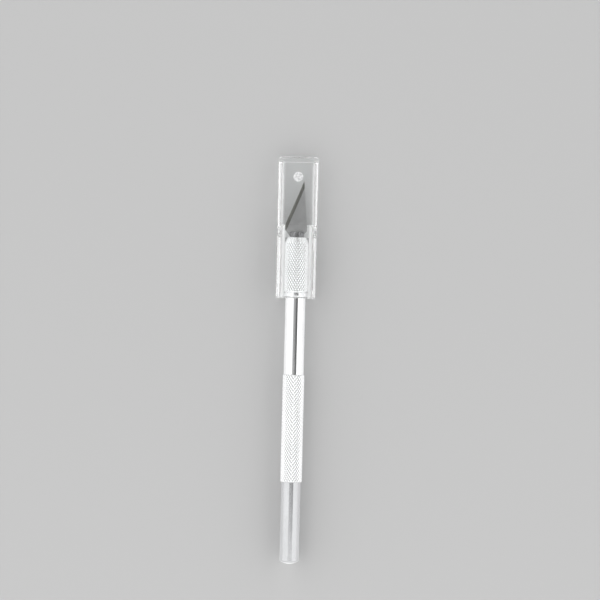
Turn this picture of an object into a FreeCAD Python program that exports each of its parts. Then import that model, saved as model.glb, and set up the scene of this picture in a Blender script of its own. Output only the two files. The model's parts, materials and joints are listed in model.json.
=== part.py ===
import FreeCAD, Part
import math
import os
import re

import Sketcher

# A hobby craft knife: a turned aluminium handle with a slotted collet in its front end, a knurled
# collar that screws back over the collet to close its four jaws on a flat steel blade, and a clear
# safety cap pushed over the collar.
#
# The knife lies flat. Its axis runs along +Y with the blade's point at +Y, the blade's flat faces
# +Z and its cutting edge is on the -X side. The cap's underside lies in the plane Z = 0, and the
# origin is under the middle of the capped knife's length. Lengths are millimetres.
#
# Every station is a distance along the axis from the tail end, and the bodies are moved back by
# half the overall length to bring the stations into the frame.

DIMENSIONS = {
    # The whole knife
    "overall_length": 145.2,
    "axis_height": 5.5,
    "running_gap": 0.02,
    # Handle
    "tail_radius": 3.39,
    "tail_dome": 1.2,
    "tail_rounding": 0.45,
    "grip_rear": 29.2,
    "grip_front": 67.6,
    "grip_radius": 3.85,
    "grip_bevel": 0.25,
    "neck_radius": 3.55,
    "shoulder": 95.05,
    "bore_radius": 2.5,
    "bore_depth": 12.4,
    # Collet stem and screw
    "stem_length": 12,
    "screw_radius": 3.3,
    "screw_front": 103.5,
    "screw_bevel": 0.3,
    # Collet jaws
    "jaw_root_gap": 0.08,
    "jaw_shank_radius": 2.5,
    "jaw_head_rear": 110.4,
    "jaw_flare": 1.2,
    "jaw_head_radius": 3.2,
    "jaw_cone_rear": 113.4,
    "jaw_cone_front": 115.9,
    "nose_radius": 2.6,
    "nose_front": 118.5,
    "nose_bevel": 0.35,
    "jaw_reach": 6,
    # Collar and its rear ring
    "collar_radius": 4.2,
    "collar_rear": 95.3,
    "collar_front": 116.5,
    "collar_bore": 3.38,
    "collar_mouth": 3.05,
    "collar_nose_radius": 3.35,
    "collar_cone_rear": 114.6,
    "collar_rim_bevel": 0.2,
    "groove_rear": 96.7,
    "groove_split": 96.9,
    "groove_front": 97.12,
    "groove_radius": 3.85,
    "seat_gap": 0.04,
    # Blade
    "blade_width": 7.8,
    "blade_length": 29.4,
    "blade_thickness": 0.5,
    "blade_skew": 4.45,
    "edge_rise": 15.3,
    "heel_start": 12.4,
    "tang_width": 4.6,
    "tang_length": 10,
    "spine_start": 11.5,
    "bevel_width": 1.15,
    "edge_land": 0.02,
    "tip_station": 136.7,
    "tip_offset": 2.2,
    "tang_slot_width": 2.2,
    "tang_slot_rear": 2.2,
    "tang_slot_front": 8,
    # Safety cap
    "cap_width": 14.3,
    "cap_depth": 11,
    "cap_mouth": 94.8,
    "cap_corner": 2.4,
    "cap_end_rounding": 1.4,
    "cap_socket_width": 10.9,
    "cap_socket_gap": 0.08,
    "cap_socket_front": 121,
    "cap_socket_corner": 1.2,
    "cap_slot_width": 10.7,
    "cap_slot_depth": 4,
    "cap_slot_corner": 0.6,
    "cap_end_wall": 1.9,
    "cap_lead_in": 0.4,
    "gate_station": 138.3,
    "gate_radius": 1.55,
    "gate_depth": 0.35,
}

JAW_TURNS = {
    "collet_jaw_upper_right": 0,
    "collet_jaw_lower_right": 90,
    "collet_jaw_lower_left": 180,
    "collet_jaw_upper_left": 270,
}

ORIGIN_POINT = (-1, 1)
UP_AXIS = -2
TOLERANCE = 1e-3

doc = FreeCAD.newDocument("craft_knife")


def fill_sheet():
    """The spreadsheet of driving dimensions, one row each, with its name as the alias."""
    sheet = doc.addObject("Spreadsheet::Sheet", "Dimensions")
    for row, (alias, number) in enumerate(DIMENSIONS.items(), start=1):
        sheet.set(f"A{row}", alias)
        sheet.set(f"B{row}", str(number))
        sheet.setAlias(f"B{row}", alias)
    doc.recompute()
    return sheet


SHEET = fill_sheet()


def bound(formula):
    """A formula of dimension names as FreeCAD reads it, with each name looked up in the sheet."""

    def looked_up(word):
        name = word.group()
        return f"Dimensions.{name}" if name in DIMENSIONS else name

    return re.sub(r"[a-z_]+", looked_up, formula)


def value(formula):
    """The number that a formula of dimension names comes to."""
    return float(SHEET.evalExpression(bound(formula)))


def new_body(label, turn_axis=None, turn=0):
    """A body on the knife's axis, whose stations count from the tail end along +Y."""
    body = doc.addObject("PartDesign::Body", label)
    body.Label = label
    if turn_axis:
        body.Placement.Rotation = FreeCAD.Rotation(FreeCAD.Vector(*turn_axis), turn)
    body.setExpression("Placement.Base.y", bound("-overall_length / 2"))
    body.setExpression("Placement.Base.z", bound("axis_height"))
    return body


def new_sketch(body, name, plane, offset=None):
    """A sketch on one of the body's own origin planes, or at an offset along its normal."""
    sketch = body.newObject("Sketcher::SketchObject", name)
    support = next(f for f in body.Origin.OriginFeatures if f.Role == plane)
    sketch.AttachmentSupport = (support, "")
    sketch.MapMode = "FlatFace"
    if offset:
        sketch.setExpression("AttachmentOffset.Base.z", bound(offset))
    return sketch


def pin_corner(sketch, line, end, across, along):
    """Ties one end of a line to the two formulas that place it."""
    for kind, formula in (("DistanceX", across), ("DistanceY", along)):
        index = sketch.addConstraint(
            Sketcher.Constraint(kind, *ORIGIN_POINT, line, end, value(formula))
        )
        sketch.setExpression(f"Constraints[{index}]", bound(formula))


def draw_outline(sketch, corners, domes=()):
    """A closed outline through corners given as pairs of formulas.

    The stretch that starts at each corner in domes is an arc centred on the sketch's vertical axis.
    """
    points = [FreeCAD.Vector(value(x), value(y), 0) for x, y in corners]
    count = len(points)
    for i, start in enumerate(points):
        finish = points[(i + 1) % count]
        if i in domes:
            centre_y = (finish.dot(finish) - start.dot(start)) / (2 * (finish.y - start.y))
            centre = FreeCAD.Vector(0, centre_y, 0)
            from_angle = math.atan2(start.y - centre_y, start.x)
            to_angle = math.atan2(finish.y - centre_y, finish.x)
            circle = Part.Circle(centre, FreeCAD.Vector(0, 0, 1), (start - centre).Length)
            sketch.addGeometry(Part.ArcOfCircle(circle, from_angle, to_angle))
        else:
            sketch.addGeometry(Part.LineSegment(start, finish))
    for i in range(count):
        sketch.addConstraint(Sketcher.Constraint("Coincident", i, 2, (i + 1) % count, 1))
        pin_corner(sketch, i, 1, *corners[i])
    for i in domes:
        sketch.addConstraint(Sketcher.Constraint("PointOnObject", i, 3, UP_AXIS))


def draw_circle(sketch, radius, along="0"):
    """A circle on the sketch's vertical axis."""
    centre = FreeCAD.Vector(0, value(along), 0)
    sketch.addGeometry(Part.Circle(centre, FreeCAD.Vector(0, 0, 1), value(radius)))
    sketch.addConstraint(Sketcher.Constraint("PointOnObject", 0, 3, UP_AXIS))
    if value(along):
        rise = Sketcher.Constraint("DistanceY", *ORIGIN_POINT, 0, 3, value(along))
        sketch.setExpression(f"Constraints[{sketch.addConstraint(rise)}]", bound(along))
    size = Sketcher.Constraint("Radius", 0, value(radius))
    sketch.setExpression(f"Constraints[{sketch.addConstraint(size)}]", bound(radius))


def draw_rectangle(sketch, width, height):
    """A rectangle centred on the sketch's origin."""
    x = f"({width}) / 2"
    y = f"({height}) / 2"
    draw_outline(sketch, [(f"-{x}", f"-{y}"), (x, f"-{y}"), (x, y), (f"-{x}", y)])


def revolve(body, corners, domes=()):
    """A solid of revolution about the knife's axis, from corners as (radius, station)."""
    sketch = new_sketch(body, f"{body.Label}_profile", "XY_Plane")
    draw_outline(sketch, corners, domes)
    feature = body.newObject("PartDesign::Revolution", f"{body.Label}_turned")
    feature.Profile = sketch
    feature.ReferenceAxis = (sketch, ["V_Axis"])
    feature.Angle = 360
    doc.recompute()
    return feature


def cut(body, name, sketch, depth=None, backwards=False, both_ways=False):
    """A pocket of a set depth, or right through, that has to remove material."""
    before = body.Shape.Volume
    pocket = body.newObject("PartDesign::Pocket", name)
    pocket.Profile = sketch
    if depth:
        pocket.Type = "Length"
        pocket.setExpression("Length", bound(depth))
        pocket.Reversed = backwards
    else:
        pocket.Type = "ThroughAll"
    pocket.Midplane = both_ways
    doc.recompute()
    if body.Shape.Volume > before - TOLERANCE:
        raise RuntimeError(f"{name} removes nothing")
    return pocket


def dress(body, kind, name, test, size):
    """A Fillet or Chamfer of the edges for which test is true."""
    base = body.Tip
    edges = enumerate(base.Shape.Edges, start=1)
    names = [f"Edge{i}" for i, edge in edges if test(edge)]
    if not names:
        raise RuntimeError(f"{name} found no edge")
    feature = body.newObject(f"PartDesign::{kind}", name)
    feature.Base = (base, names)
    feature.setExpression("Radius" if kind == "Fillet" else "Size", bound(size))
    doc.recompute()
    return feature


def curve_of(edge):
    """The edge's curve, or None for the edge with no length where a face closes on the axis."""
    return None if edge.Degenerated else edge.Curve


def ring_edge(radius, station):
    """A test for the round edge of a given radius at a given station."""
    size = value(radius)
    near = value(station)

    def test(edge):
        curve = curve_of(edge)
        if not isinstance(curve, Part.Circle):
            return False
        return math.hypot(curve.Radius - size, curve.Center.y - near) < TOLERANCE

    return test


def straight_edge(direction):
    """A test for the straight edges that run along a direction."""

    def test(edge):
        curve = curve_of(edge)
        return isinstance(curve, Part.Line) and curve.Direction.cross(direction).Length < TOLERANCE

    return test


def make_handle():
    """The turned handle: domed tail, thicker grip, plain neck and a blind bore for the collet."""
    body = new_body("handle")
    revolve(
        body,
        [
            ("0", "0"),
            ("tail_radius", "tail_dome"),
            ("tail_radius", "grip_rear"),
            ("grip_radius - grip_bevel", "grip_rear"),
            ("grip_radius", "grip_rear + grip_bevel"),
            ("grip_radius", "grip_front - grip_bevel"),
            ("grip_radius - grip_bevel", "grip_front"),
            ("neck_radius", "grip_front"),
            ("neck_radius", "shoulder"),
            ("bore_radius", "shoulder"),
            ("bore_radius", "shoulder - bore_depth"),
            ("0", "shoulder - bore_depth"),
        ],
        domes=(0,),
    )
    dress(
        body,
        "Fillet",
        "tail_rim",
        ring_edge("tail_radius", "tail_dome"),
        "tail_rounding",
    )
    return body


def make_collet():
    """The collet's solid part: the stem held in the handle's bore, and the screw for the collar."""
    body = new_body("collet")
    stem = "bore_radius - running_gap"
    rear = "shoulder - stem_length"
    revolve(
        body,
        [
            ("0", rear),
            (f"{stem} - screw_bevel", rear),
            (stem, f"{rear} + screw_bevel"),
            (stem, "shoulder"),
            ("screw_radius", "shoulder"),
            ("screw_radius", "screw_front - screw_bevel"),
            ("screw_radius - screw_bevel", "screw_front"),
            ("0", "screw_front"),
        ],
    )
    return body


def make_jaw(label, turn):
    """One spring finger of the collet: a quarter of a turned head, clear of both saw cuts."""
    body = new_body(label, (0, 1, 0), turn)
    root = "screw_front + jaw_root_gap"
    revolve(
        body,
        [
            ("0", root),
            ("jaw_shank_radius", root),
            ("jaw_shank_radius", "jaw_head_rear"),
            ("jaw_head_radius", "jaw_head_rear + jaw_flare"),
            ("jaw_head_radius", "jaw_cone_rear"),
            ("nose_radius", "jaw_cone_front"),
            ("nose_radius", "nose_front - nose_bevel"),
            ("nose_radius - nose_bevel", "nose_front"),
            ("0", "nose_front"),
        ],
    )
    half_cut = "(blade_thickness / 2 + running_gap)"
    waste = new_sketch(body, f"{label}_waste", "XZ_Plane")
    draw_outline(
        waste,
        [
            ("-jaw_reach", "-jaw_reach"),
            ("jaw_reach", "-jaw_reach"),
            ("jaw_reach", half_cut),
            (half_cut, half_cut),
            (half_cut, "jaw_reach"),
            ("-jaw_reach", "jaw_reach"),
        ],
    )
    cut(body, f"{label}_saw_cuts", waste, both_ways=True)
    return body


def make_collar_ring():
    """The plain band at the collar's rear, which ends in the narrow groove before the knurl."""
    body = new_body("collar_rear_ring")
    revolve(
        body,
        [
            ("collar_bore", "collar_rear"),
            ("collar_radius - collar_rim_bevel", "collar_rear"),
            ("collar_radius", "collar_rear + collar_rim_bevel"),
            ("collar_radius", "groove_rear"),
            ("groove_radius", "groove_rear"),
            ("groove_radius", "groove_split - running_gap"),
            ("collar_bore", "groove_split - running_gap"),
        ],
    )
    return body


def make_collar():
    """The knurled sleeve, with the cone inside its front end that presses the jaws together."""
    body = new_body("collar")
    slope = "((jaw_head_radius - nose_radius) / (jaw_cone_front - jaw_cone_rear))"
    wide = "(jaw_head_radius + seat_gap)"
    revolve(
        body,
        [
            ("collar_bore", "groove_split"),
            ("groove_radius", "groove_split"),
            ("groove_radius", "groove_front"),
            ("collar_radius", "groove_front"),
            ("collar_radius", "collar_cone_rear"),
            ("collar_nose_radius", "collar_front"),
            ("collar_mouth", "collar_front"),
            ("collar_mouth", f"jaw_cone_rear + ({wide} - collar_mouth) / {slope}"),
            ("collar_bore", f"jaw_cone_rear + ({wide} - collar_bore) / {slope}"),
        ],
    )
    return body


def grind_bevel(body, name, side):
    """One ground face of the cutting edge, as a chamfer wide across the blade and half as deep.

    Two distances fit an edge only one way round, so a chamfer that fails is flipped.
    """
    slant = straight_edge(FreeCAD.Vector(value("blade_width"), value("edge_rise"), 0).normalize())
    level = side * value("blade_thickness / 2")

    def on_this_side(edge):
        return slant(edge) and abs(edge.Vertexes[0].Z - level) < TOLERANCE

    bevel = dress(body, "Chamfer", name, on_this_side, "bevel_width")
    bevel.ChamferType = "Two distances"
    bevel.setExpression("Size2", bound("(blade_thickness - edge_land) / 2"))
    doc.recompute()
    if not bevel.isValid():
        bevel.FlipDirection = True
        doc.recompute()


def make_blade():
    """The flat blade: slanting cutting edge, straight spine and a narrow tang with its slot."""
    body = doc.addObject("PartDesign::Body", "blade")
    body.Label = "blade"
    side = "(blade_width - tang_width) / 2"
    sketch = new_sketch(body, "blade_outline", "XY_Plane")
    draw_outline(
        sketch,
        [
            (side, "0"),
            (f"blade_width - {side}", "0"),
            (f"blade_width - {side}", "tang_length"),
            ("blade_width", "spine_start"),
            ("blade_width", "blade_length"),
            ("0", "blade_length - edge_rise"),
            ("0", "heel_start"),
            (side, "tang_length"),
        ],
    )
    plate = body.newObject("PartDesign::Pad", "blade_plate")
    plate.Profile = sketch
    plate.setExpression("Length", bound("blade_thickness"))
    plate.Midplane = True
    doc.recompute()

    middle = "blade_width / 2"
    half = "tang_slot_width / 2"
    slot = new_sketch(body, "tang_slot_outline", "XY_Plane")
    draw_outline(
        slot,
        [
            (middle, "tang_slot_rear"),
            (f"{middle} + {half}", f"tang_slot_rear + {half}"),
            (f"{middle} + {half}", f"tang_slot_front - {half}"),
            (f"{middle} + {half} / 2", "tang_slot_front"),
            (f"{middle} - {half} / 2", "tang_slot_front"),
            (f"{middle} - {half}", f"tang_slot_front - {half}"),
            (f"{middle} - {half}", f"tang_slot_rear + {half}"),
        ],
    )
    cut(body, "tang_slot", slot, both_ways=True)

    grind_bevel(body, "upper_bevel", 1)
    grind_bevel(body, "lower_bevel", -1)
    body.Placement.Rotation = FreeCAD.Rotation(FreeCAD.Vector(0, 0, 1), value("blade_skew"))
    across = "(blade_width * cos(blade_skew) - blade_length * sin(blade_skew))"
    along = "(blade_width * sin(blade_skew) + blade_length * cos(blade_skew))"
    body.setExpression("Placement.Rotation.Angle", bound("blade_skew"))
    body.setExpression("Placement.Base.x", bound(f"tip_offset - {across}"))
    body.setExpression("Placement.Base.y", bound(f"tip_station - overall_length / 2 - {along}"))
    body.setExpression("Placement.Base.z", bound("axis_height"))
    return body


def bevelled_rectangle(half_width, rear, front, bevel, all_round):
    """The corners of a rectangle with its front corners, or all four, cut off at 45 degrees."""
    front_corners = [
        (half_width, f"{front} - {bevel}"),
        (f"{half_width} - {bevel}", front),
        (f"-({half_width} - {bevel})", front),
        (f"-{half_width}", f"{front} - {bevel}"),
    ]
    if not all_round:
        return [(f"-{half_width}", rear), (half_width, rear), *front_corners]
    rear_corners = [
        (f"-{half_width}", f"{rear} + {bevel}"),
        (f"-({half_width} - {bevel})", rear),
        (f"{half_width} - {bevel}", rear),
        (half_width, f"{rear} + {bevel}"),
    ]
    return rear_corners + front_corners


def cut_collar_socket(body):
    """The cap's wide hollow for the collar, which it holds above and below."""
    half_width = "cap_socket_width / 2"
    half_depth = "(collar_radius + cap_socket_gap)"
    outline = new_sketch(body, "collar_socket_outline", "XZ_Plane")
    draw_outline(
        outline,
        bevelled_rectangle(half_width, "cap_mouth", "cap_socket_front", "cap_socket_corner", False),
    )
    cut(body, "collar_socket", outline, f"2 * {half_depth}", both_ways=True)
    side = value(half_width)
    ceiling = value(half_depth)
    upright = straight_edge(FreeCAD.Vector(0, 0, 1))

    def long_corner(edge):
        end = edge.Vertexes[0]
        return upright(edge) and math.hypot(abs(end.X) - side, abs(end.Y) - ceiling) < TOLERANCE

    def mouth_rim(edge):
        return all(
            abs(end.Z - value("cap_mouth")) < TOLERANCE
            and abs(end.X) < side + TOLERANCE
            and abs(end.Y) < ceiling + TOLERANCE
            for end in edge.Vertexes
        )

    dress(body, "Fillet", "collar_socket_corners", long_corner, "cap_socket_corner")
    dress(body, "Chamfer", "mouth_lead_in", mouth_rim, "cap_lead_in")


def make_cap():
    """The clear cap: a rounded block, hollowed out for the collar and, narrower, for the blade."""
    body = new_body("safety_cap", (1, 0, 0), -90)
    outside = new_sketch(body, "cap_outside", "XY_Plane", "cap_mouth")
    draw_rectangle(outside, "cap_width", "cap_depth")
    block = body.newObject("PartDesign::Pad", "cap_block")
    block.Profile = outside
    block.setExpression("Length", bound("overall_length - cap_mouth"))
    doc.recompute()
    dress(body, "Fillet", "cap_corners", straight_edge(FreeCAD.Vector(0, 0, 1)), "cap_corner")
    end = value("overall_length")
    dress(
        body,
        "Fillet",
        "cap_closed_end",
        lambda edge: all(abs(corner.Z - end) < TOLERANCE for corner in edge.Vertexes),
        "cap_end_rounding",
    )
    cut_collar_socket(body)

    half_depth = "cap_slot_depth / 2"
    slot = new_sketch(body, "blade_slot", "XY_Plane", "cap_mouth")
    draw_outline(
        slot,
        bevelled_rectangle("cap_slot_width / 2", f"-{half_depth}", half_depth, "cap_slot_corner", True),
    )
    cut(body, "blade_space", slot, "overall_length - cap_end_wall - cap_mouth", backwards=True)

    gate = new_sketch(body, "gate_circle", "XZ_Plane", "cap_depth / 2")
    draw_circle(gate, "gate_radius", "gate_station")
    cut(body, "gate_dimple", gate, "gate_depth")
    return body


def check(bodies):
    """Stops unless every object computed and every body is one valid solid."""
    for item in doc.Objects:
        if {"Invalid", "Error"} & set(item.State):
            raise RuntimeError(f"{item.Label}: {item.State}")
    for body in bodies:
        shape = body.Shape
        if shape.isNull() or not shape.isValid() or len(shape.Solids) != 1:
            raise RuntimeError(f"{body.Label} is not one valid solid")


def export(bodies):
    """Each piece to its own STEP file, named after the piece."""
    os.makedirs("parts", exist_ok=True)
    for body in bodies:
        body.Shape.exportStep(f"parts/{body.Label}.step")


def main():
    bodies = [make_handle(), make_collet()]
    bodies += [make_jaw(label, turn) for label, turn in JAW_TURNS.items()]
    bodies += [make_collar_ring(), make_collar(), make_blade(), make_cap()]
    doc.recompute()
    check(bodies)
    export(bodies)


main()
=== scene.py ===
import json
import math

import bmesh
import bpy
import numpy as np
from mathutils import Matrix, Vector
from mathutils.geometry import tessellate_polygon


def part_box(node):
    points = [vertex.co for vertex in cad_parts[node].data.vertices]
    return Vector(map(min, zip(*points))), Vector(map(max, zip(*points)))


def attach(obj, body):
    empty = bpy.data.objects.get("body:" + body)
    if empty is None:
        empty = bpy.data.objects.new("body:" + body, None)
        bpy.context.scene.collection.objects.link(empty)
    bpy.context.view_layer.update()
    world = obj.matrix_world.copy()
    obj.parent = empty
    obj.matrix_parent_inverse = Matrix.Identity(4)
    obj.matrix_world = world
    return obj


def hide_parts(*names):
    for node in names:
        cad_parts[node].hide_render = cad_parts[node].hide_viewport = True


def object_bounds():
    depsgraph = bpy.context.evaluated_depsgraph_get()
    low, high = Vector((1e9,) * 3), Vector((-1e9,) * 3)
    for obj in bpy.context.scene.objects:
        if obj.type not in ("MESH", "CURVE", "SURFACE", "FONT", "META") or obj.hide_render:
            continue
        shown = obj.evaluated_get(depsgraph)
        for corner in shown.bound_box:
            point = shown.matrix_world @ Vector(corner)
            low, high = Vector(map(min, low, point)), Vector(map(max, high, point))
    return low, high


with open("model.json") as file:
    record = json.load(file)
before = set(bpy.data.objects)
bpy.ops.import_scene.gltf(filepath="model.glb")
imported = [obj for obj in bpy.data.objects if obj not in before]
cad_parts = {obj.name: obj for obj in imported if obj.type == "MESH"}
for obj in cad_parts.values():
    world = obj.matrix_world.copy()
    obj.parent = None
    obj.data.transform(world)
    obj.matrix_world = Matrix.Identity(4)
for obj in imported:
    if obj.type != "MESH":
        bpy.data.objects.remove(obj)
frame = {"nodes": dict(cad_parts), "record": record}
CAD_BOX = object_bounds()

# The looks of a hobby craft knife. Turned pieces are drawn as outlines of (station, radius) in
# millimetres, where a station is the distance along the knife's axis from the tail end, and their
# ends and sizes are read from the frame.

MM = 0.001
TURN = 2 * math.pi
TAIL_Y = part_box("handle")[0].y
AXIS_Z = (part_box("handle")[0].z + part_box("handle")[1].z) / 2
MOUNTS = {mount["name"]: mount for mount in frame["record"]["mounts"]}

# How close counts as the same place: in millimetres, or in metres for WELD.
NEAR = 0.05
HAIR = 0.02
FLUSH = 0.001
TINY = 1e-6
WELD = 1e-7


def station(y):
    """The station in millimetres of a place in the frame."""
    return (y - TAIL_Y) / MM


def radius_of(point):
    """A point's distance from the knife's axis, in millimetres."""
    return math.hypot(point.x, point.z - AXIS_Z) / MM


def ends(node):
    """The stations where a node starts and stops."""
    low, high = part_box(node)
    return station(low.y), station(high.y)


def rings(node):
    """Every (station, radius) of a turned node's corners, in millimetres and in order."""
    corners = [p.co for p in frame["nodes"][node].data.vertices]
    return sorted({(round(station(p.y), 2), round(radius_of(p), 2)) for p in corners})


# ---------------------------------------------------------------- sizes

TAIL_RADIUS = MOUNTS["tail_shank"]["dims"]["r_mm"]
TAIL_RIM = 0.35
TAIL_DOME = 1.2
NECK_RIM = 0.12
SHOULDER = ends("handle")[1]
NECK_RADIUS = max(r for s, r in rings("handle") if s > SHOULDER - NEAR)
BORE_RADIUS = min(r for s, r in rings("handle") if s > SHOULDER - NEAR)
BORE_END = min(s for s, r in rings("handle") if abs(r - BORE_RADIUS) < HAIR)

GRIP = MOUNTS["grip_shank"]
GRIP_BEVEL = 0.25
GRIP_MIDDLE = station(GRIP["pos_m"][1])
GRIP_HALF = GRIP["dims"]["length_mm"] / 2 + GRIP_BEVEL
GRIP_REAR = GRIP_MIDDLE - GRIP_HALF
GRIP_FRONT = GRIP_MIDDLE + GRIP_HALF
GRIP_RADIUS = GRIP["dims"]["r_mm"]

COLLAR_RINGS = rings("collar")
COLLAR_REAR, COLLAR_FRONT = ends("collar")
COLLAR_RADIUS = max(r for s, r in COLLAR_RINGS)
COLLAR_MOUTH = min(r for s, r in COLLAR_RINGS)
COLLAR_NOSE = max(r for s, r in COLLAR_RINGS if s > COLLAR_FRONT - NEAR)
COLLAR_BORE = min(r for s, r in COLLAR_RINGS if s < COLLAR_REAR + NEAR)
GROOVE_RADIUS = max(r for s, r in COLLAR_RINGS if s < COLLAR_REAR + NEAR)
GROOVE_FRONT = min(s for s, r in COLLAR_RINGS if r == COLLAR_RADIUS)
NOSE_REAR = max(s for s, r in COLLAR_RINGS if r == COLLAR_RADIUS)
SEAT_REAR = max(s for s, r in COLLAR_RINGS if r == COLLAR_BORE)
SEAT_FRONT = min(s for s, r in COLLAR_RINGS if r == COLLAR_MOUTH)
COLLAR_RIM = 0.05
RING_REAR, RING_FRONT = ends("collar_rear_ring")
RING_RIM = 0.16
GROOVE_REAR = max(s for s, r in rings("collar_rear_ring") if r == COLLAR_RADIUS)

COLLET_RINGS = rings("collet")
STEM_REAR, SCREW_FRONT = ends("collet")
STEM_RADIUS = max(r for s, r in COLLET_RINGS if s < SHOULDER - 1)
STEM_BEVEL = 0.3
SCREW_RADIUS = max(r for s, r in COLLET_RINGS)
SCREW_PITCH = 0.5
SCREW_DEPTH = 0.25
SCREW_CREST = 0.8
SCREW_RUNOUT = 0.2

JAW_REAR, JAW_FRONT = ends("collet_jaw_upper_right")
JAW_SHANK_RADIUS = 2.5
JAW_SHANK_LENGTH = 6.82
JAW_FLARE = 1.2
JAW_HEAD_RADIUS = 3.2
JAW_HEAD_LENGTH = 1.8
JAW_CONE_LENGTH = 2.5
JAW_NOSE_RADIUS = 2.6
JAW_NOSE_BEVEL = 0.35
JAW_CORNER = 0.08
JAW_EDGE = 0.05
SAW_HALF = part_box("collet_jaw_upper_right")[0].x / MM

BLADE_ROUNDING = 0.09
GRIND_TILT = (0.96, 0.99)

CAP_REAR, CAP_FRONT = ends("safety_cap")
CAP_HALF_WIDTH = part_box("safety_cap")[1].x / MM
CAP_HALF_HEIGHT = (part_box("safety_cap")[1].z - AXIS_Z) / MM
CAP_CORNER = 2.4
CAP_END_ROUND = 1.4
CAP_MOUTH_ROUND = 0.25
CAP_STEPS = 8
CAP_LEAD = 0.4
CAP_SOCKET_SIDE = 5.45
CAP_SOCKET_CEILING = COLLAR_RADIUS + 0.08
CAP_SOCKET_CORNER = 1.2
CAP_SOCKET_DROP = 0.1
CAP_SOCKET_END = 121.0
CAP_MISTED_LENGTH = 4.5
CAP_SLOT_SIDE = 5.35
CAP_SLOT_CEILING = 2.0
CAP_SLOT_CORNER = 0.7
CAP_SLOT_END = 143.3
GATE_STATION = 138.0
GATE_RADIUS = 1.75
GATE_DEPTH = 0.35
GATE_NUB_STATION = GATE_STATION + 0.35
GATE_NUB_RADIUS = 1.45
GATE_NUB_HEIGHT = 0.2

# The knurls: how deep their slopes are, where the pyramids are cut off, and how many diamonds there
# are round the knife and along it. The mesh has KNURL_STEPS steps to a diamond each way.
GRIP_DEPTH = 0.115
GRIP_FLAT = 0.86
GRIP_DIAMONDS = 24
GRIP_ROWS = 27
GRIP_KNURL = (GRIP_RADIUS, GRIP_DEPTH)
COLLAR_DEPTH = 0.1
COLLAR_FLAT = 0.62
COLLAR_DIAMONDS = 26
COLLAR_ROWS = 11
COLLAR_PLAIN_RIM = 0.3
COLLAR_KNURL = (COLLAR_RADIUS, COLLAR_DEPTH)
KNURL_GROOVE = 0.05
KNURL_GROOVE_SHARE = 0.25
KNURL_STEPS = 8

# Edges with a greater angle than this, in degrees, are shaded sharp.
SHARP = 26
KNURL_SHARP = 12


# ---------------------------------------------------------------- mesh helpers


def eased(outline, radius, steps=3):
    """An open outline with each corner of more than 15 degrees rounded off by a small arc."""
    least_bend = math.radians(15)
    longest_share = 0.4
    points = [Vector(p) for p in outline]
    result = [points[0]]
    for before, corner, after in zip(points, points[1:], points[2:]):
        back = before - corner
        ahead = after - corner
        if back.length < TINY or ahead.length < TINY:
            result.append(corner)
            continue
        bend = math.pi - back.angle(ahead)
        if bend < least_bend:
            result.append(corner)
            continue
        longest = longest_share * min(back.length, ahead.length)
        reach = min(radius * math.tan(bend / 2), longest)
        start = corner + back.normalized() * reach
        finish = corner + ahead.normalized() * reach
        for i in range(steps + 1):
            t = i / steps
            result.append((1 - t) ** 2 * start + 2 * t * (1 - t) * corner + t ** 2 * finish)
    result.append(points[-1])
    return [tuple(p) for p in result]


def stretch(start, finish, count):
    """The places between two stations that cut the stretch into count equal steps."""
    return [start + (finish - start) * i / count for i in range(1, count)]


def add_object(name, work, materials, pick=None, sharp=SHARP):
    """A piece from a bmesh in metres, with outward normals and its sharp edges kept sharp."""
    mesh = bpy.data.meshes.new(name)
    bmesh.ops.recalc_face_normals(work, faces=work.faces)
    work.to_mesh(mesh)
    work.free()
    for material in materials:
        mesh.materials.append(material)
    if pick:
        for face in mesh.polygons:
            face.material_index = pick(face)
    piece = bpy.data.objects.new(name, mesh)
    bpy.context.scene.collection.objects.link(piece)
    shade(piece, sharp)
    return piece


def shade(piece, sharp=SHARP):
    """Smooth shading that keeps edges of more than sharp degrees, and keeps big flats flat."""
    piece.data.shade_smooth()
    piece.data.set_sharp_from_angle(angle=math.radians(sharp))
    even = piece.modifiers.new("even_shading", "WEIGHTED_NORMAL")
    even.keep_sharp = True


def mesh_of(vertices, faces):
    """A bmesh from vertices in metres and faces that number them."""
    mesh = bpy.data.meshes.new("faces")
    mesh.from_pydata([tuple(v) for v in vertices], [], faces)
    work = bmesh.new()
    work.from_mesh(mesh)
    bpy.data.meshes.remove(mesh)
    return work


def placed(along, loop):
    """A loop of (x, z) points in millimetres from the knife's axis, as points in the frame."""
    return [(x * MM, TAIL_Y + along * MM, AXIS_Z + z * MM) for x, z in loop]


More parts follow.
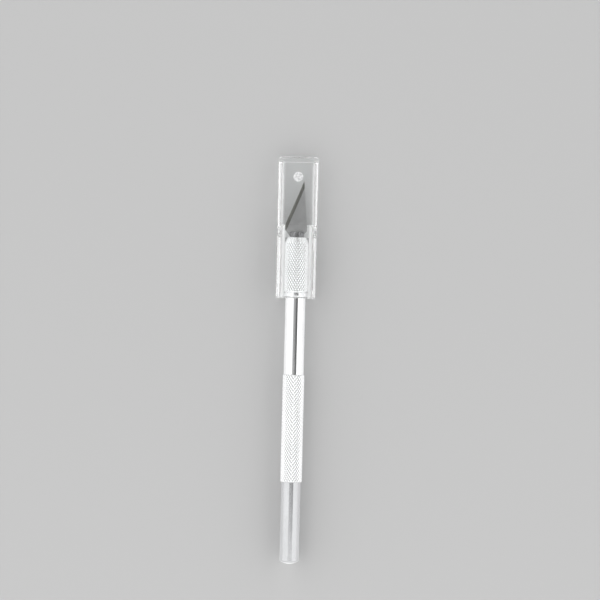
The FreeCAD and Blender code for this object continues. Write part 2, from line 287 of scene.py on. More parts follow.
def turned(
    name, outline, columns, materials, pick=None, relief=None, ring=False, diamonds=None, sharp=SHARP
):
    """A turned piece from an outline of (station, radius) in millimetres.

    An outline that starts and stops on the axis is closed there. A ring's outline runs round its
    section, back to where it starts. relief gives new radii for turn angles, a station and a radius.
    diamonds holds the first and last rows of the knurl, whose faces are split along its grooves.
    """
    angles = np.arange(columns) * TURN / columns
    vertices = []
    index = []
    for along, radius in outline:
        if radius < TINY:
            index.append([len(vertices)] * columns)
            vertices.append((0, TAIL_Y + along * MM, AXIS_Z))
            continue
        sizes = np.full(columns, radius) if relief is None else relief(angles, along, radius)
        index.append(list(range(len(vertices), len(vertices) + columns)))
        x = sizes * MM * np.sin(angles)
        z = AXIS_Z + sizes * MM * np.cos(angles)
        vertices += [(a, TAIL_Y + along * MM, b) for a, b in zip(x, z)]
    faces = []
    last = len(outline) if ring else len(outline) - 1
    for i in range(last):
        low, high = index[i], index[(i + 1) % len(outline)]
        for j in range(columns):
            k = (j + 1) % columns
            if low[j] == low[k]:
                faces.append((low[j], high[k], high[j]))
            elif high[j] == high[k]:
                faces.append((low[j], low[k], high[j]))
            elif diamonds is None or not diamonds[0] <= i < diamonds[1]:
                faces.append((low[j], low[k], high[k], high[j]))
            elif (j + i - diamonds[0] + 1) % KNURL_STEPS:
                faces.append((low[j], low[k], high[k]))
                faces.append((low[j], high[k], high[j]))
            else:
                faces.append((low[j], low[k], high[j]))
                faces.append((low[k], high[k], high[j]))
    return add_object(name, mesh_of(vertices, faces), materials, pick, sharp)


def zigzag(phase):
    """0 where phase is a whole number and 1 half way between."""
    return 1 - np.abs(2 * (phase - np.floor(phase)) - 1)


def knurled(crest, depth, flat, rear, front, around, rows):
    """The radius of a diamond knurl: pyramids between two sets of crossing spiral grooves.

    The pyramids are cut off at flat, as a share of their full height.
    """
    period = (front - rear) / rows
    margin = 0.3

    def relief(angles, along, radius):
        if not rear - TINY <= along <= front + TINY or radius < crest - margin:
            return np.full(len(angles), radius)
        around_phase = around * angles / TURN
        along_phase = (along - rear) / period
        height = np.minimum(zigzag(around_phase + along_phase), zigzag(around_phase - along_phase))
        slope = depth * (1 - np.minimum(height / flat, 1))
        groove = KNURL_GROOVE * np.maximum(0, 1 - height / KNURL_GROOVE_SHARE)
        return np.minimum(radius, crest - slope - groove)

    return relief


# ---------------------------------------------------------------- materials

ALUMINIUM = (0.90, 0.905, 0.91)
DULL_ALUMINIUM = (0.57, 0.575, 0.585)
# The collet's aluminium, painted far darker than bare aluminium, as painted shade for the shade it
# sits in.
SHADED_ALUMINIUM = (0.24, 0.24, 0.245)
GROUND_STEEL = (0.42, 0.42, 0.42)
# The edge's grind faces: the same steel painted much darker, as painted shade.
SHADED_EDGE_STEEL = (0.16, 0.16, 0.145)
CLEAR = (0.985, 0.99, 0.99)
MOTTLED = (0.62, 0.62, 0.63)
LENGTHWISE = (9000, 900, 900)
CROSSWISE = (900, 9000, 900)


class Nodes:
    """A material's node tree, with short ways to add and join nodes."""

    def __init__(self, name):
        self.material = bpy.data.materials.new(name)
        self.material.use_nodes = True
        self.tree = self.material.node_tree
        self.tree.nodes.clear()
        self.output = self.add("ShaderNodeOutputMaterial")

    def add(self, kind, **settings):
        node = self.tree.nodes.new(kind)
        for key, value in settings.items():
            setattr(node, key, value)
        return node

    def join(self, source, target):
        self.tree.links.new(source, target)

    def math(self, operation, first, second=None, third=None):
        node = self.add("ShaderNodeMath", operation=operation)
        for socket, value in zip(node.inputs, (first, second, third)):
            if value is None:
                continue
            if isinstance(value, (int, float)):
                socket.default_value = value
            else:
                self.join(value, socket)
        return node.outputs[0]

    def place(self, stretch_by=(1, 1, 1)):
        """The object's own coordinates, in metres, stretched along each axis."""
        mapping = self.add("ShaderNodeMapping")
        mapping.inputs["Scale"].default_value = stretch_by
        self.join(self.add("ShaderNodeTexCoord").outputs["Object"], mapping.inputs["Vector"])
        return mapping.outputs[0]

    def radius(self):
        """The distance from the knife's axis, in metres."""
        parts = self.add("ShaderNodeSeparateXYZ")
        self.join(self.place(), parts.inputs[0])
        up = self.math("SUBTRACT", parts.outputs["Z"], AXIS_Z)
        up_squared = self.math("MULTIPLY", up, up)
        across_squared = self.math("MULTIPLY", parts.outputs["X"], parts.outputs["X"])
        return self.math("SQRT", self.math("ADD", up_squared, across_squared))

    def noise(self, scale, stretch_by=(1, 1, 1), detail=3.0, roughness=0.5):
        node = self.add("ShaderNodeTexNoise")
        node.inputs["Scale"].default_value = scale
        node.inputs["Detail"].default_value = detail
        node.inputs["Roughness"].default_value = roughness
        self.join(self.place(stretch_by), node.inputs["Vector"])
        return node.outputs["Fac"]

    def spread(self, value, low, high, low_in=0.0, high_in=1.0):
        """A value moved from one range to another, and kept inside it."""
        node = self.add("ShaderNodeMapRange")
        self.join(value, node.inputs["Value"])
        node.inputs["From Min"].default_value = low_in
        node.inputs["From Max"].default_value = high_in
        node.inputs["To Min"].default_value = low
        node.inputs["To Max"].default_value = high
        return node.outputs[0]

    def blend(self, share, first, second):
        """A colour between two colours."""
        node = self.add("ShaderNodeMix", data_type="RGBA")
        for key, value in (("Factor", share), ("A", first), ("B", second)):
            sockets = [s for s in node.inputs if s.name == key and s.enabled]
            if isinstance(value, tuple):
                sockets[0].default_value = (*value, 1)
            elif isinstance(value, (int, float)):
                sockets[0].default_value = value
            else:
                self.join(value, sockets[0])
        return next(s for s in node.outputs if s.enabled)

    def bump(self, height, distance, normal=None):
        node = self.add("ShaderNodeBump")
        node.inputs["Distance"].default_value = distance
        node.inputs["Strength"].default_value = 1
        self.join(height, node.inputs["Height"])
        if normal is not None:
            self.join(normal, node.inputs["Normal"])
        return node.outputs[0]

    def surface(self, **values):
        """The principled shader, with plain numbers or joined sockets as its inputs."""
        shader = self.add("ShaderNodeBsdfPrincipled")
        for key, value in values.items():
            socket = shader.inputs[key.replace("_", " ")]
            if isinstance(value, bpy.types.NodeSocket):
                self.join(value, socket)
            elif isinstance(value, tuple):
                socket.default_value = (*value, 1)
            else:
                socket.default_value = value
        self.join(shader.outputs[0], self.output.inputs["Surface"])
        return shader


def dimmed(colour, share):
    """A colour made darker, down to a share of its brightness."""
    return tuple(c * share for c in colour)


def aluminium(name, colour, rough, ring_height, scratch_height, knurl=None):
    """Bare aluminium off the lathe: fine rings round it, faint scratches along it, uneven shine.

    Knurled aluminium is painted darker down in its grooves, as painted shade and grime there; knurl
    is then its outer radius and its depth.
    """
    n = Nodes(name)
    lathe_rings = n.noise(1.0, (60, 22000, 60), detail=2.0)
    scratches = n.noise(1.0, (5000, 260, 5000), detail=3.0)
    smears = n.noise(260, (1, 0.4, 1), detail=4.0, roughness=0.6)
    shine = n.spread(smears, rough * 0.75, rough * 1.35, 0.3, 0.7)
    shine = n.math("ADD", shine, n.spread(scratches, -0.02, 0.05, 0.35, 0.75))
    tone = n.blend(n.spread(smears, 0, 1, 0.35, 0.65), colour, dimmed(colour, 0.93))
    if knurl:
        crest, depth = knurl
        bottom = (crest - depth - KNURL_GROOVE) * MM
        # Painted shade and grime: the colour darkens towards the bottom of the knurl's grooves.
        groove_shade_and_grime = n.spread(n.radius(), 1, 0, bottom, (crest - depth * 0.7) * MM)
        tone = n.blend(groove_shade_and_grime, tone, dimmed(colour, 0.55))
    scratched = n.bump(scratches, scratch_height * MM)
    normal = n.bump(lathe_rings, ring_height * MM, scratched)
    n.surface(Base_Color=tone, Metallic=1.0, Roughness=shine, Normal=normal)
    return n.material


def steel(name, colour, rough, grain_way):
    """Ground blade steel, with the grinding lines running one way."""
    n = Nodes(name)
    grain = n.noise(1.0, grain_way, detail=3.0, roughness=0.6)
    blotches = n.noise(330, detail=3.0)
    shine = n.spread(grain, rough - 0.05, rough + 0.07, 0.3, 0.7)
    shine = n.math("ADD", shine, n.spread(blotches, -0.03, 0.04))
    tone = n.blend(n.spread(blotches, 0, 1, 0.35, 0.65), colour, dimmed(colour, 0.9))
    normal = n.bump(grain, 0.0006 * MM)
    n.surface(Base_Color=tone, Metallic=1.0, Roughness=shine, Normal=normal)
    return n.material


def clear_plastic(name, frost=0.0, clearness=1.0, mottled=CLEAR):
    """Clear moulded plastic. Light on its way to what is under it passes almost unchanged.

    mottled is the darker of the two tones it is blotched with; frost and clearness cloud it.
    """
    n = Nodes(name)
    waves = n.noise(140, (1, 0.35, 1), detail=1.0)
    scuffs = n.noise(1.0, (2400, 500, 2400), detail=4.0, roughness=0.65)
    blotches = n.spread(n.noise(1500, detail=2.0), 0, 1, 0.42, 0.58)
    shader = n.surface(
        Base_Color=n.blend(blotches, mottled, CLEAR),
        Transmission_Weight=clearness,
        IOR=1.49,
        Roughness=n.spread(scuffs, 0.005 + frost, 0.05 + frost, 0.62, 0.8),
        Normal=n.bump(waves, 0.02 * MM),
    )
    clear = n.add("ShaderNodeBsdfTransparent")
    clear.inputs["Color"].default_value = (0.98, 0.985, 0.985, 1)
    mix = n.add("ShaderNodeMixShader")
    n.join(n.add("ShaderNodeLightPath").outputs["Is Shadow Ray"], mix.inputs[0])
    n.join(shader.outputs[0], mix.inputs[1])
    n.join(clear.outputs[0], mix.inputs[2])
    n.join(mix.outputs[0], n.output.inputs["Surface"])
    return n.material


SATIN = aluminium(
    "aluminium_satin", ALUMINIUM, rough=0.17, ring_height=0.0012, scratch_height=0.0006
)
TAIL_METAL = aluminium(
    "aluminium_tail", DULL_ALUMINIUM, rough=0.11, ring_height=0.0006, scratch_height=0.0008
)
POLISHED = aluminium(
    "aluminium_polished", ALUMINIUM, rough=0.09, ring_height=0.0004, scratch_height=0.0004
)
GRIP_METAL = aluminium(
    "aluminium_grip",
    ALUMINIUM,
    rough=0.11,
    ring_height=0.0004,
    scratch_height=0.0008,
    knurl=GRIP_KNURL,
)
COLLAR_METAL = aluminium(
    "aluminium_collar",
    ALUMINIUM,
    rough=0.12,
    ring_height=0.0004,
    scratch_height=0.0008,
    knurl=COLLAR_KNURL,
)
# Painted shade: the collet and its jaws are aluminium coloured dark.
SHADED_COLLET_METAL = aluminium(
    "aluminium_collet_shaded", SHADED_ALUMINIUM, rough=0.32, ring_height=0.0015, scratch_height=0.0006
)
BLADE_FLAT = steel("blade_steel", GROUND_STEEL, rough=0.32, grain_way=CROSSWISE)
# Painted shade: the grind faces get a darkened copy of the blade steel.
SHADED_BLADE_GRIND = steel("blade_grind_shaded", SHADED_EDGE_STEEL, rough=0.3, grain_way=LENGTHWISE)
PLASTIC = clear_plastic("clear_plastic")
FROSTED = clear_plastic("clear_plastic_frosted", frost=0.5, clearness=0.35, mottled=MOTTLED)
MISTED = clear_plastic("clear_plastic_misted", frost=0.3, clearness=0.7)


# ---------------------------------------------------------------- pieces


def make_handle():
    """The turned handle, from the middle of its tail round to the bottom of its bore."""
    sphere = (TAIL_RADIUS ** 2 + TAIL_DOME ** 2) / (2 * TAIL_DOME)
    steps = 12
    dome = [
        (sphere - math.sqrt(sphere ** 2 - r * r), r)
        for r in (TAIL_RADIUS * i / steps for i in range(steps))
    ]
    tail = [
        *dome[-2:],
        (TAIL_DOME, TAIL_RADIUS),
        (GRIP_REAR, TAIL_RADIUS),
        (GRIP_REAR, GRIP_RADIUS - GRIP_BEVEL),
    ]
    tail = eased(tail, TAIL_RIM, 6)
    knurl_start = len(dome[:-2]) + len(tail) - 1
    count = GRIP_ROWS * KNURL_STEPS
    knurl = []
    for along in [GRIP_REAR, *stretch(GRIP_REAR, GRIP_FRONT, count), GRIP_FRONT]:
        edge = min(along - GRIP_REAR, GRIP_FRONT - along, GRIP_BEVEL)
        knurl.append((along, GRIP_RADIUS - GRIP_BEVEL + edge))
    neck = [
        knurl[-1],
        (GRIP_FRONT, NECK_RADIUS),
        (SHOULDER, NECK_RADIUS),
        (SHOULDER, BORE_RADIUS),
        (BORE_END, BORE_RADIUS),
        (BORE_END, 0),
    ]
    neck = eased(neck, NECK_RIM, 4)
    outline = dome[:-2] + tail[:-1] + knurl + neck[1:]

    def pick(face):
        along = station(face.center.y)
        if radius_of(face.center) < BORE_RADIUS + 2 * NEAR:
            return 0
        if along > GRIP_FRONT:
            return 1
        return 2 if along > GRIP_REAR + HAIR else 3

    return turned(
        "handle",
        outline,
        GRIP_DIAMONDS * KNURL_STEPS,
        [SATIN, POLISHED, GRIP_METAL, TAIL_METAL],
        pick,
        knurled(*GRIP_KNURL, GRIP_FLAT, GRIP_REAR, GRIP_FRONT, GRIP_DIAMONDS, GRIP_ROWS),
        diamonds=(knurl_start, knurl_start + count),
        sharp=KNURL_SHARP,
    )


def make_collar():
    """The knurled sleeve: plain rim, knurl, long front bevel, and its bore with the seat."""
    knurl_rear = GROOVE_FRONT + COLLAR_PLAIN_RIM
    count = COLLAR_ROWS * KNURL_STEPS
    rear = [
        (COLLAR_REAR, COLLAR_BORE),
        (COLLAR_REAR, GROOVE_RADIUS),
        (GROOVE_FRONT, GROOVE_RADIUS),
        (GROOVE_FRONT, COLLAR_RADIUS),
        (knurl_rear, COLLAR_RADIUS),
    ]
    rear = eased(rear, COLLAR_RIM)
    knurl = [(along, COLLAR_RADIUS) for along in stretch(knurl_rear, NOSE_REAR, count)]
    front = [
        (NOSE_REAR, COLLAR_RADIUS),
        (COLLAR_FRONT, COLLAR_NOSE),
        (COLLAR_FRONT, COLLAR_MOUTH),
        (SEAT_FRONT, COLLAR_MOUTH),
        (SEAT_REAR, COLLAR_BORE),
        (COLLAR_REAR, COLLAR_BORE),
    ]
    front = eased(front, COLLAR_RIM)
    first = len(rear) - 1

    def pick(face):
        on_knurl = knurl_rear < station(face.center.y) < NOSE_REAR
        outside = radius_of(face.center) > (COLLAR_RADIUS + COLLAR_BORE) / 2
        return 0 if on_knurl and outside else 1

    return turned(
        "collar",
        rear + knurl + front[:-1],
        COLLAR_DIAMONDS * KNURL_STEPS,
        [COLLAR_METAL, SATIN],
        pick,
        knurled(*COLLAR_KNURL, COLLAR_FLAT, knurl_rear, NOSE_REAR, COLLAR_DIAMONDS, COLLAR_ROWS),
        ring=True,
        diamonds=(first, first + count),
        sharp=KNURL_SHARP,
    )


def make_collar_ring():
    """The plain band behind the groove."""
    start = (RING_REAR, COLLAR_BORE + 2 * NEAR)
    outline = [
        start,
        (RING_REAR, COLLAR_RADIUS),
        (GROOVE_REAR, COLLAR_RADIUS),
        (GROOVE_REAR, GROOVE_RADIUS),
        (RING_FRONT, GROOVE_RADIUS),
        (RING_FRONT, COLLAR_BORE),
        (RING_REAR, COLLAR_BORE),
        start,
    ]
    outline = eased(outline, RING_RIM, 4)
    return turned("collar_rear_ring", outline[:-1], 128, [SATIN], ring=True)


def make_collet():
    """The collet's solid part: a plain stem in the handle and a screw in front of it."""
    steps_per_turn = 10
    count = round((SCREW_FRONT - SHOULDER) / SCREW_PITCH * steps_per_turn)
    outline = [
        (STEM_REAR, 0),
        (STEM_REAR, STEM_RADIUS - STEM_BEVEL),
        (STEM_REAR + STEM_BEVEL, STEM_RADIUS),
        (SHOULDER, STEM_RADIUS),
        (SHOULDER, SCREW_RADIUS - SCREW_DEPTH),
        (SHOULDER, SCREW_RADIUS),
        *[(along, SCREW_RADIUS) for along in stretch(SHOULDER, SCREW_FRONT - SCREW_RUNOUT, count)],
        (SCREW_FRONT, SCREW_RADIUS - SCREW_DEPTH),
        (SCREW_FRONT, 0),
    ]

    def thread(angles, along, radius):
        if radius < SCREW_RADIUS - TINY:
            return np.full(len(angles), radius)
        height = zigzag(along / SCREW_PITCH - angles / TURN)
        return SCREW_RADIUS - SCREW_DEPTH * (1 - np.minimum(height / SCREW_CREST, 1))

    return turned("collet", outline, 96, [SHADED_COLLET_METAL], relief=thread)


def make_blade():
    """The blade as designed, with its sharp edges broken by a small rounded bevel.

    Its flats are ground across it. The two faces that make the edge are ground lengthwise and
    painted darker than the flats, as painted shade.
    """
    least_bend = math.radians(20)
    work = bmesh.new()
    work.from_mesh(frame["nodes"]["blade"].data)
    bmesh.ops.remove_doubles(work, verts=work.verts, dist=WELD)
    bmesh.ops.dissolve_limit(work, angle_limit=0.01, verts=work.verts, edges=work.edges)
    joined = [edge for edge in work.edges if len(edge.link_faces) == 2]
    bmesh.ops.bevel(
        work,
        geom=[edge for edge in joined if edge.calc_face_angle() > least_bend],
        offset=BLADE_ROUNDING * MM,
        segments=2,
        profile=0.5,
        affect="EDGES",
        clamp_overlap=True,
    )

    def pick(face):
        return 1 if GRIND_TILT[0] < abs(face.normal.z) < GRIND_TILT[1] else 0

    return add_object("blade", work, [BLADE_FLAT, SHADED_BLADE_GRIND], pick)


def jaw_section(radius):
    """A quarter of a disc less half of each saw cut, as (x, z) points from flat to flat."""
    steps = 16
    flat_start = SAW_HALF + 0.2
    first = math.asin(SAW_HALF / radius)
    last = math.pi / 2 - first
    arc = [first + (last - first) * i / steps for i in range(steps + 1)]
    rim = [(radius * math.cos(a), radius * math.sin(a)) for a in arc]
    return eased([(flat_start, SAW_HALF), *rim, (SAW_HALF, flat_start)], JAW_EDGE, 2)


def jaw_profile():
    """A jaw's outline of (station, radius), from its root to the tip of its nose."""
    head_rear = JAW_REAR + JAW_SHANK_LENGTH
    cone_rear = head_rear + JAW_FLARE + JAW_HEAD_LENGTH
    outline = [
        (JAW_REAR, JAW_SHANK_RADIUS),
        (head_rear, JAW_SHANK_RADIUS),
        (head_rear + JAW_FLARE, JAW_HEAD_RADIUS),
        (cone_rear, JAW_HEAD_RADIUS),
        (cone_rear + JAW_CONE_LENGTH, JAW_NOSE_RADIUS),
        (JAW_FRONT - JAW_NOSE_BEVEL, JAW_NOSE_RADIUS),
        (JAW_FRONT, JAW_NOSE_RADIUS - JAW_NOSE_BEVEL),
    ]
    return eased(outline, JAW_CORNER)


def make_jaw(name):
    """One of the collet's four jaws, between its two saw cuts."""
    low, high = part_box(name)
    side = 1 if low.x + high.x > 0 else -1
    up = 1 if (low.z + high.z) / 2 > AXIS_Z else -1
    loops = [
        placed(along, [(side * x, up * z) for x, z in jaw_section(radius)])
        for along, radius in jaw_profile()
    ]
    return add_object(name, lofted(loops), [SHADED_COLLET_METAL])


def lofted(loops):
    """A closed bmesh through loops of equally many points, with both ends filled."""
    count = len(loops[0])
    vertices = [p for loop in loops for p in loop]
    faces = ring_faces(0, len(loops), count)
    faces.append(tuple(range(count)))
    faces.append(tuple(range(len(vertices) - count, len(vertices))))
    return mesh_of(vertices, faces)


def mirrored(quarter):
    """A whole loop from its first quarter, which runs from the x axis to the z axis."""
    left = [(-x, z) for x, z in reversed(quarter[:-1])]
    half = quarter + left
    return half + [(x, -z) for x, z in reversed(half[1:-1])]


def quarter_turn(centre, radius, steps):
    """Points (x, z) along a quarter of a circle, from its right side to its top."""
    angles = [math.pi / 2 * i / steps for i in range(steps + 1)]
    return [(centre[0] + radius * math.cos(a), centre[1] + radius * math.sin(a)) for a in angles]


def cap_section(inset):
    """The cap's outline drawn in by inset, as (x, z) points from the middle of its right side."""
    half_width = CAP_HALF_WIDTH - inset
    half_height = CAP_HALF_HEIGHT - inset
    bend = CAP_CORNER - inset
    corner = quarter_turn((half_width - bend, half_height - bend), bend, CAP_STEPS)
    return mirrored([(half_width, 0), *corner, (0, half_height)])


def hollow_section(inset, slot_only=False):
    """A section of the cap's hollow: the blade's slot, and round it the collar's socket.

    The socket's sides are drawn in by inset, its ceilings hardly at all. With slot_only it is
    pressed flat into the slot.
    """
    side = CAP_SOCKET_SIDE - inset
    ceiling = CAP_SOCKET_CEILING - min(inset, CAP_SOCKET_DROP)
    bend = max(CAP_SOCKET_CORNER - inset, HAIR)
    slot_middle = (CAP_SLOT_SIDE - CAP_SLOT_CORNER, CAP_SLOT_CEILING - CAP_SLOT_CORNER)
    slot = [(CAP_SLOT_SIDE, 0), *quarter_turn(slot_middle, CAP_SLOT_CORNER, CAP_STEPS - 2)]
    socket = [
        (side, CAP_SLOT_CEILING + HAIR),
        *quarter_turn((side - bend, ceiling - bend), bend, CAP_STEPS),
        (0, ceiling),
    ]
    if slot_only:
        socket = [(x, CAP_SLOT_CEILING) for x, z in socket]
    else:
        slot = [(max(x, side), z) for x, z in slot]
    return mirrored(slot + socket)


def rounding():
    """A quarter of a circle of radius 1, as pairs of a distance along and how far it draws in."""
    angles = [math.pi / 2 * i / CAP_STEPS for i in range(CAP_STEPS + 1)]
    return [(math.sin(a), 1 - math.cos(a)) for a in angles]


def cap_outside():
    """Loops over the cap's outside, from the rim of its mouth to its rounded closed end."""
    profile = [(CAP_REAR, CAP_MOUTH_ROUND), (CAP_REAR + CAP_MOUTH_ROUND, 0)]
    for out, into in rounding():
        profile.append((CAP_FRONT - CAP_END_ROUND * (1 - out), CAP_END_ROUND * into))
    return [placed(along, cap_section(inset)) for along, inset in profile]


def cap_inside():
    """Loops over the cap's hollow, from the lead-in at its mouth to the slot's closed end."""
    loops = [
        placed(CAP_REAR, hollow_section(-CAP_LEAD)),
        placed(CAP_REAR + CAP_LEAD, hollow_section(0)),
        placed(CAP_SOCKET_END - CAP_MISTED_LENGTH, hollow_section(0)),
    ]
    for out, into in rounding():
        along = CAP_SOCKET_END - CAP_SOCKET_CORNER * (1 - out)
        loops.append(placed(along, hollow_section(CAP_SOCKET_CORNER * into)))
    slot = hollow_section(CAP_SOCKET_CORNER, slot_only=True)
    return loops + [placed(CAP_SOCKET_END, slot), placed(CAP_SLOT_END, slot)]


def ring_faces(first, loops, count):
    """The faces between loops of count vertices, numbered on from first."""
    faces = []
    for i in range(loops - 1):
        low = first + i * count
        high = low + count
        for j in range(count):
            k = (j + 1) % count
            faces.append((low + j, low + k, high + k, high + j))
    return faces


def upright_cylinder(name, centre, radius, bottom, top):
    """A plain disc standing on the cap's flat top face, with heights from the knife's axis."""
    columns = 48
    angles = [TURN * i / columns for i in range(columns)]
    loops = [
        [
            (
                radius * MM * math.cos(a),
                TAIL_Y + (centre + radius * math.sin(a)) * MM,
                AXIS_Z + height * MM,
            )
            for a in angles
        ]
        for height in (bottom, top)
    ]
    return add_object(name, lofted(loops), [FROSTED])


def mark_gate(cap):
    """The mark of the cap's moulding gate: a shallow round dish with a broad low nub in it."""
    top = CAP_HALF_HEIGHT
    bottom = top - GATE_DEPTH
    dish = upright_cylinder("dish", GATE_STATION, GATE_RADIUS, bottom, top + 1)
    nub = upright_cylinder(
        "nub", GATE_NUB_STATION, GATE_NUB_RADIUS, bottom - GATE_DEPTH, bottom + GATE_NUB_HEIGHT
    )
    cap.modifiers["even_shading"].show_viewport = False
    for tool, operation in ((dish, "DIFFERENCE"), (nub, "UNION")):
        step = cap.modifiers.new(operation, "BOOLEAN")
        step.operation = operation
        step.object = tool
    marked = cap.evaluated_get(bpy.context.evaluated_depsgraph_get())
    cap.data = bpy.data.meshes.new_from_object(marked)
    cap.modifiers.clear()
    for tool in (dish, nub):
        bpy.data.objects.remove(tool)


def cap_material(face):
    """The number of a face's material: frosted on the gate's mark, misted round the collar's nose
    and along the socket's corners, and clear anywhere else.
    """
    clear, frosted, misted = range(3)
    across = abs(face.center.x) / MM
    along = station(face.center.y)
    up = (face.center.z - AXIS_Z) / MM

    on_gate = math.hypot(across, along - GATE_STATION) < GATE_RADIUS - HAIR
    in_dish = CAP_HALF_HEIGHT - GATE_DEPTH - NEAR < up < CAP_HALF_HEIGHT - HAIR / 2
    if on_gate and in_dish and abs(face.normal.z) > 0.5:
        return frosted

    in_socket = CAP_REAR + CAP_LEAD < along < CAP_SOCKET_END
    at_side = CAP_SOCKET_SIDE - CAP_SOCKET_CORNER < across < CAP_SOCKET_SIDE + HAIR
    slanting = abs(up) < CAP_SOCKET_CEILING - FLUSH and abs(face.normal.x) < 0.97
    if in_socket and at_side and slanting:
        return misted

    at_nose = CAP_SOCKET_END - CAP_MISTED_LENGTH < along < CAP_SOCKET_END + HAIR / 2
    under_slot = -CAP_SOCKET_CEILING - HAIR < up < -CAP_SLOT_CEILING - HAIR
    if at_nose and under_slot and across < CAP_SOCKET_SIDE:
        return misted
    return clear


def make_cap():
    """The clear safety cap: a rounded block hollowed out for the collar and for the blade."""
    outer = cap_outside()
    inner = cap_inside()
    vertices = []
    faces = []
    for loops in (outer, inner):
        count = len(loops[0])
        faces += ring_faces(len(vertices), len(loops), count)
        vertices += [p for loop in loops for p in loop]
        faces.append(tuple(range(len(vertices) - count, len(vertices))))
    inside_start = len(outer) * len(outer[0])
    rims = [*range(len(outer[0])), *range(inside_start, inside_start + len(inner[0]))]
    mouth = [[Vector(p) for p in loops[0]] for loops in (outer, inner)]
    for triangle in tessellate_polygon(mouth):
        faces.append(tuple(rims[i] for i in triangle))
    work = mesh_of(vertices, faces)
    bmesh.ops.remove_doubles(work, verts=work.verts, dist=WELD)
    cap = add_object("safety_cap", work, [PLASTIC, FROSTED, MISTED])
    mark_gate(cap)
    for face in cap.data.polygons:
        face.material_index = cap_material(face)
    shade(cap)
    return cap


# ---------------------------------------------------------------- surroundings

FLOOR_SEEN = (0.5, 0.5, 0.5)
FLOOR_MIRRORED = (0.95, 0.95, 0.95)
FLOOR_SHEEN = 0.25
FLOOR_HALF = 1.5
FLOOR_GAP = 0.0002


def floor():
    """A pale floor just under the knife, whiter where the metal mirrors it than it is to the eye.

    The whiter tone keeps the metal bright to its outlines, as a sheet lit beyond the view does.
    Light that comes through the cap's walls sees the plain tone.
    """
    material = Nodes("pale_floor")
    path = material.add("ShaderNodeLightPath")
    by_metal = material.math("MINIMUM", path.outputs["Glossy Depth"], 1)
    in_cap_wall = material.math("COMPARE", path.outputs["Transmission Depth"], 2, 0.5)
    by_metal = material.math("MULTIPLY", by_metal, material.math("SUBTRACT", 1, in_cap_wall))
    tone = material.blend(by_metal, FLOOR_SEEN, FLOOR_MIRRORED)
    material.surface(Base_Color=tone, Roughness=FLOOR_SHEEN)
    low = CAD_BOX[0].z - FLOOR_GAP
    signs = ((-1, -1), (1, -1), (1, 1), (-1, 1))
    mesh = bpy.data.meshes.new("floor")
    mesh.from_pydata([(x * FLOOR_HALF, y * FLOOR_HALF, low) for x, y in signs], [], [(0, 1, 2, 3)])
    mesh.materials.append(material.material)
    piece = bpy.data.objects.new("floor", mesh)
    bpy.context.scene.collection.objects.link(piece)


# How bright the light is, by degrees from straight overhead towards the knife's right.
SOFTBOX = 1.4
SKY_BANDS = (
    (-175, 1.0),
    (-100, 1.2),
    (-60, SOFTBOX),
    (-24, SOFTBOX),
    (-16, 0.5),
    (4, 0.32),
    (18, 0.09),
    (29, 0.06),
    (31, SOFTBOX),
    (60, SOFTBOX),
    (100, 1.2),
    (175, 1.0),
)
# A softbox beyond the tail fades in over these degrees from straight overhead.
TAIL_LIGHT_START = 3.2
TAIL_LIGHT_FULL = 4.7


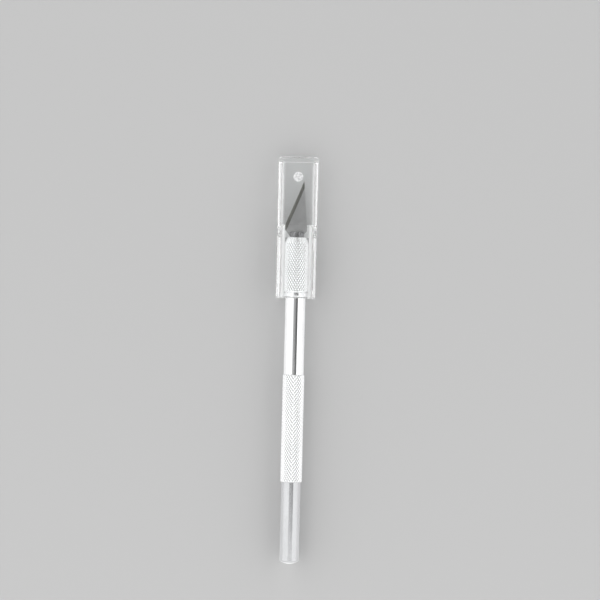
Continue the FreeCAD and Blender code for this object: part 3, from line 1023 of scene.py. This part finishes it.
def sky():
    """Soft light from all round, with a dim stretch straight overhead as between two softboxes."""
    world = bpy.data.worlds.new("studio")
    bpy.context.scene.world = world
    world.use_nodes = True
    tree = world.node_tree
    tree.nodes.clear()
    out = tree.nodes.new("ShaderNodeOutputWorld")
    background = tree.nodes.new("ShaderNodeBackground")
    tree.links.new(background.outputs[0], out.inputs[0])
    coordinates = tree.nodes.new("ShaderNodeTexCoord")
    split = tree.nodes.new("ShaderNodeSeparateXYZ")
    tree.links.new(coordinates.outputs["Generated"], split.inputs[0])

    def calc(operation, first, second=None, third=None):
        node = tree.nodes.new("ShaderNodeMath")
        node.operation = operation
        for socket, value in zip(node.inputs, (first, second, third)):
            if isinstance(value, (int, float)):
                socket.default_value = value
            elif value is not None:
                tree.links.new(value, socket)
        return node.outputs[0]

    def tail_light():
        node = tree.nodes.new("ShaderNodeMapRange")
        node.interpolation_type = "SMOOTHSTEP"
        tree.links.new(split.outputs["Y"], node.inputs["Value"])
        node.inputs["From Min"].default_value = -math.sin(math.radians(TAIL_LIGHT_FULL))
        node.inputs["From Max"].default_value = -math.sin(math.radians(TAIL_LIGHT_START))
        node.inputs["To Min"].default_value = SOFTBOX
        node.inputs["To Max"].default_value = 0
        return node.outputs[0]

    lean = calc("ARCTAN2", split.outputs["X"], split.outputs["Z"])
    degrees = calc("MULTIPLY", lean, 180 / math.pi)
    bands = tree.nodes.new("ShaderNodeValToRGB")
    tree.links.new(calc("MULTIPLY_ADD", degrees, 1 / 360, 0.5), bands.inputs[0])
    stops = bands.color_ramp.elements
    for place, level in SKY_BANDS:
        stop = stops.new(place / 360 + 0.5)
        stop.color = (level, level, level, 1)
    stops.remove(stops[0])
    stops.remove(stops[-1])
    level = calc("MAXIMUM", bands.outputs[0], tail_light())
    tree.links.new(level, background.inputs["Strength"])
    background.inputs["Color"].default_value = (1, 1, 1, 1)


def camera():
    """A long lens straight above, rolled a little, framed as a square well round the knife."""
    distance = 1.1
    view_width = 0.2142
    roll = math.radians(1.4)
    middle_station = 94.2
    to_the_right = 1.64
    right = Vector((math.cos(roll), math.sin(roll), 0))
    middle = Vector((0, TAIL_Y + middle_station * MM, AXIS_Z)) + right * to_the_right * MM
    data = bpy.data.cameras.new("camera")
    data.sensor_width = 36
    data.lens = data.sensor_width * distance / view_width
    data.clip_start = 0.05
    data.clip_end = 10
    cam = bpy.data.objects.new("camera", data)
    cam.location = middle + Vector((0, 0, distance))
    cam.rotation_euler = (0, 0, roll)
    bpy.context.scene.collection.objects.link(cam)
    bpy.context.scene.camera = cam


# ---------------------------------------------------------------- assembly

pieces = {
    "handle": (make_handle(), "handle_body"),
    "collet": (make_collet(), "handle_body"),
    "collar_rear_ring": (make_collar_ring(), "collar_ring_body"),
    "collar": (make_collar(), "collar_body"),
    "blade": (make_blade(), "blade_body"),
    "safety_cap": (make_cap(), "cap_body"),
}
for corner in ("upper_right", "lower_right", "lower_left", "upper_left"):
    pieces["collet_jaw_" + corner] = (make_jaw("collet_jaw_" + corner), "jaw_" + corner + "_body")
for node, (piece, body) in pieces.items():
    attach(piece, body)
    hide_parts(node)

floor()
sky()
camera()
bpy.context.scene.view_settings.view_transform = "Standard"
# Light bounces many times between the cap's inner and outer walls before it comes out.
bpy.context.scene.cycles.max_bounces = 24
bpy.context.scene.cycles.glossy_bounces = 16
bpy.context.scene.cycles.transmission_bounces = 24
